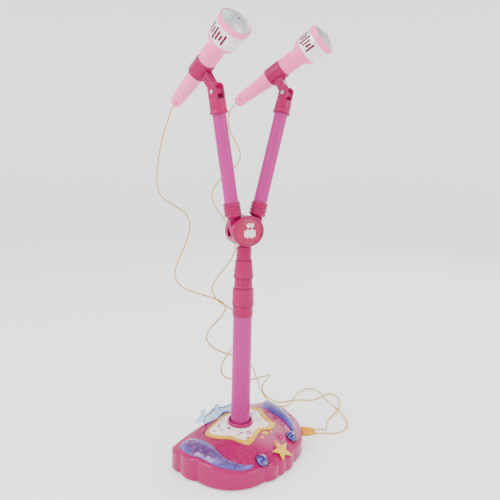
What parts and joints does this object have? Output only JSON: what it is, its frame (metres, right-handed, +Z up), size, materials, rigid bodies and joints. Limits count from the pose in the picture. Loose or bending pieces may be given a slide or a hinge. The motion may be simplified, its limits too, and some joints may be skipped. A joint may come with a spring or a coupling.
{
  "type": "toy microphone stand",
  "caption": "Double karaoke toy microphone stand: domed base, telescopic pole, pivoting arms, tilting clips holding corded microphones.",
  "frame": {"origin": "on the ground at the pole's axis, under the middle foot pad", "axes": "+Z up along the pole; the arms stand in the XZ plane; -Y is the side the grilles point to; the base is turned 16 degrees about Z under the mast"},
  "size_m": [0.3741, 0.2134, 0.6851],
  "materials": {
    "magenta_base": "glossy moulded plastic",
    "magenta_parts": "semi-gloss moulded plastic",
    "orchid_tube": "semi-gloss tube",
    "badge_pink": "moulded, glossy",
    "steel": "plated screws",
    "mic_pink": "glossy moulded plastic",
    "band_silver": "silvery printed label",
    "grille_silver": "silver-painted mesh pattern",
    "dark_plastic": "matte",
    "dark_rubber": "matte",
    "foot_rubber": "matte",
    "cord_yellow": "matte flexible jacket",
    "plug_amber": "moulded plug, satin",
    "tail_purple": "pearly, purple to violet",
    "splash_blue": "translucent light blue",
    "panel_white": "pearly off-white, printed",
    "gold": "gold-painted",
    "gem_blue": "glossy, faceted",
    "board_green": "circuit board",
    "battery_case": "printed sleeve"
  },
  "bodies": {
    "stand": {"base_shell": "magenta_base", "batteries": "battery_case", "battery_contacts": "steel", "battery_door": "magenta_base", "bottom_cover": "magenta_base", "circuit_board": "board_green", "cord_jacks": "dark_plastic", "cover_screws": "steel", "gold_trim": "mic_pink", "left_cord": "cord_yellow", "left_tail": "tail_purple", "lock_body": "magenta_parts", "lock_jaw": "magenta_base", "lower_plug": "plug_amber", "lower_tube": "orchid_tube", "panel_plate": "panel_white", "pole_collar": "magenta_base", "right_cord": "cord_yellow", "right_tail": "tail_purple", "rubber_feet": "foot_rubber", "speaker": "dark_plastic", "splash_ornament": "splash_blue", "upper_plug": "plug_amber"},
    "star_button": {"star_button": "gold"},
    "left_gem_button": {"left_gem_button": "gem_blue"},
    "right_gem_button": {"right_gem_button": "gem_blue"},
    "lock_nut": {"lock_nut": "magenta_parts"},
    "mast": {"inner_tube": "orchid_tube", "guide_bush": "dark_plastic", "connector_sleeve": "magenta_parts"},
    "hub": {"hub_neck": "magenta_parts", "hub_front_shell": "magenta_parts", "hub_rear_shell": "magenta_parts", "hub_badge": "badge_pink", "arm_pins": "steel", "hub_screws": "steel"},
    "left_arm": {"left_knuckle": "magenta_parts", "left_arm_tube": "orchid_tube"},
    "left_fork": {"left_fork": "magenta_parts", "left_tilt_screw": "steel"},
    "left_clip": {"left_clip": "magenta_parts"},
    "left_mic": {"left_mic_handle": "mic_pink", "left_mic_head": "mic_pink", "left_mic_band": "band_silver", "left_mic_rim": "mic_pink", "left_mic_grille": "grille_silver", "left_mic_capsule": "dark_plastic", "left_mic_grommet": "dark_rubber"},
    "right_arm": {"right_knuckle": "magenta_parts", "right_arm_tube": "orchid_tube"},
    "right_fork": {"right_fork": "magenta_parts", "right_tilt_screw": "steel"},
    "right_clip": {"right_clip": "magenta_parts"},
    "right_mic": {"right_mic_handle": "mic_pink", "right_mic_head": "mic_pink", "right_mic_band": "band_silver", "right_mic_rim": "mic_pink", "right_mic_grille": "grille_silver", "right_mic_capsule": "dark_plastic", "right_mic_grommet": "dark_rubber"}
  },
  "joints": [
    {"name": "star_press", "type": "slide", "parent": "stand", "child": "star_button", "axis": [-0.1378, 0.4806, -0.866], "range_m": [0, 0.0014], "stiffness_N_per_m": 300},
    {"name": "left_gem_press", "type": "slide", "parent": "stand", "child": "left_gem_button", "axis": [-0.0284, 0.4057, -0.9135], "range_m": [0, 0.0014], "stiffness_N_per_m": 300},
    {"name": "right_gem_press", "type": "slide", "parent": "stand", "child": "right_gem_button", "axis": [-0.191, 0.3591, -0.9135], "range_m": [0, 0.0014], "stiffness_N_per_m": 300},
    {"name": "lock_turn", "type": "hinge", "parent": "stand", "child": "lock_nut", "pos_m": [0, 0, 0.245], "axis": [0, 0, 1], "range_deg": [0, 90]},
    {"name": "mast_slide", "type": "slide", "parent": "stand", "child": "mast", "axis": [0, 0, 1], "range_m": [0, 0.13], "deforming": ["left_cord", "right_cord"]},
    {"name": "hub_turn", "type": "hinge", "parent": "mast", "child": "hub", "pos_m": [0, 0, 0.295], "axis": [0, 0, 1], "range_deg": [-90, 90]},
    {"name": "left_arm_fold", "type": "hinge", "parent": "hub", "child": "left_arm", "pos_m": [-0.017, 0, 0.351], "axis": [0, -1, 0], "range_deg": [0, 70]},
    {"name": "left_fork_turn", "type": "hinge", "parent": "left_arm", "child": "left_fork", "pos_m": [-0.017, 0, 0.351], "axis": [-0.1771, 0, 0.9842], "range_deg": [-25, 25]},
    {"name": "left_tilt", "type": "hinge", "parent": "left_fork", "child": "left_clip", "pos_m": [-0.05525, 0, 0.56359], "axis": [0.9412, 0.2924, 0.1693], "range_deg": [-35, 35]},
    {"name": "left_mic_slide", "type": "slide", "parent": "left_clip", "child": "left_mic", "axis": [0.1581, -0.824, 0.5441], "range_m": [0, 0.11]},
    {"name": "right_arm_fold", "type": "hinge", "parent": "hub", "child": "right_arm", "pos_m": [0.017, 0, 0.351], "axis": [0, 1, 0], "range_deg": [0, 70]},
    {"name": "right_fork_turn", "type": "hinge", "parent": "right_arm", "child": "right_fork", "pos_m": [0.017, 0, 0.351], "axis": [0.2453, 0, 0.9694], "range_deg": [-25, 25]},
    {"name": "right_tilt", "type": "hinge", "parent": "right_fork", "child": "right_clip", "pos_m": [0.07293, 0, 0.57203], "axis": [0.8989, 0.3746, -0.2274], "range_deg": [-35, 35]},
    {"name": "right_mic_slide", "type": "slide", "parent": "right_clip", "child": "right_mic", "axis": [0.4374, -0.7356, 0.5173], "range_m": [0, 0.11]}
  ]
}
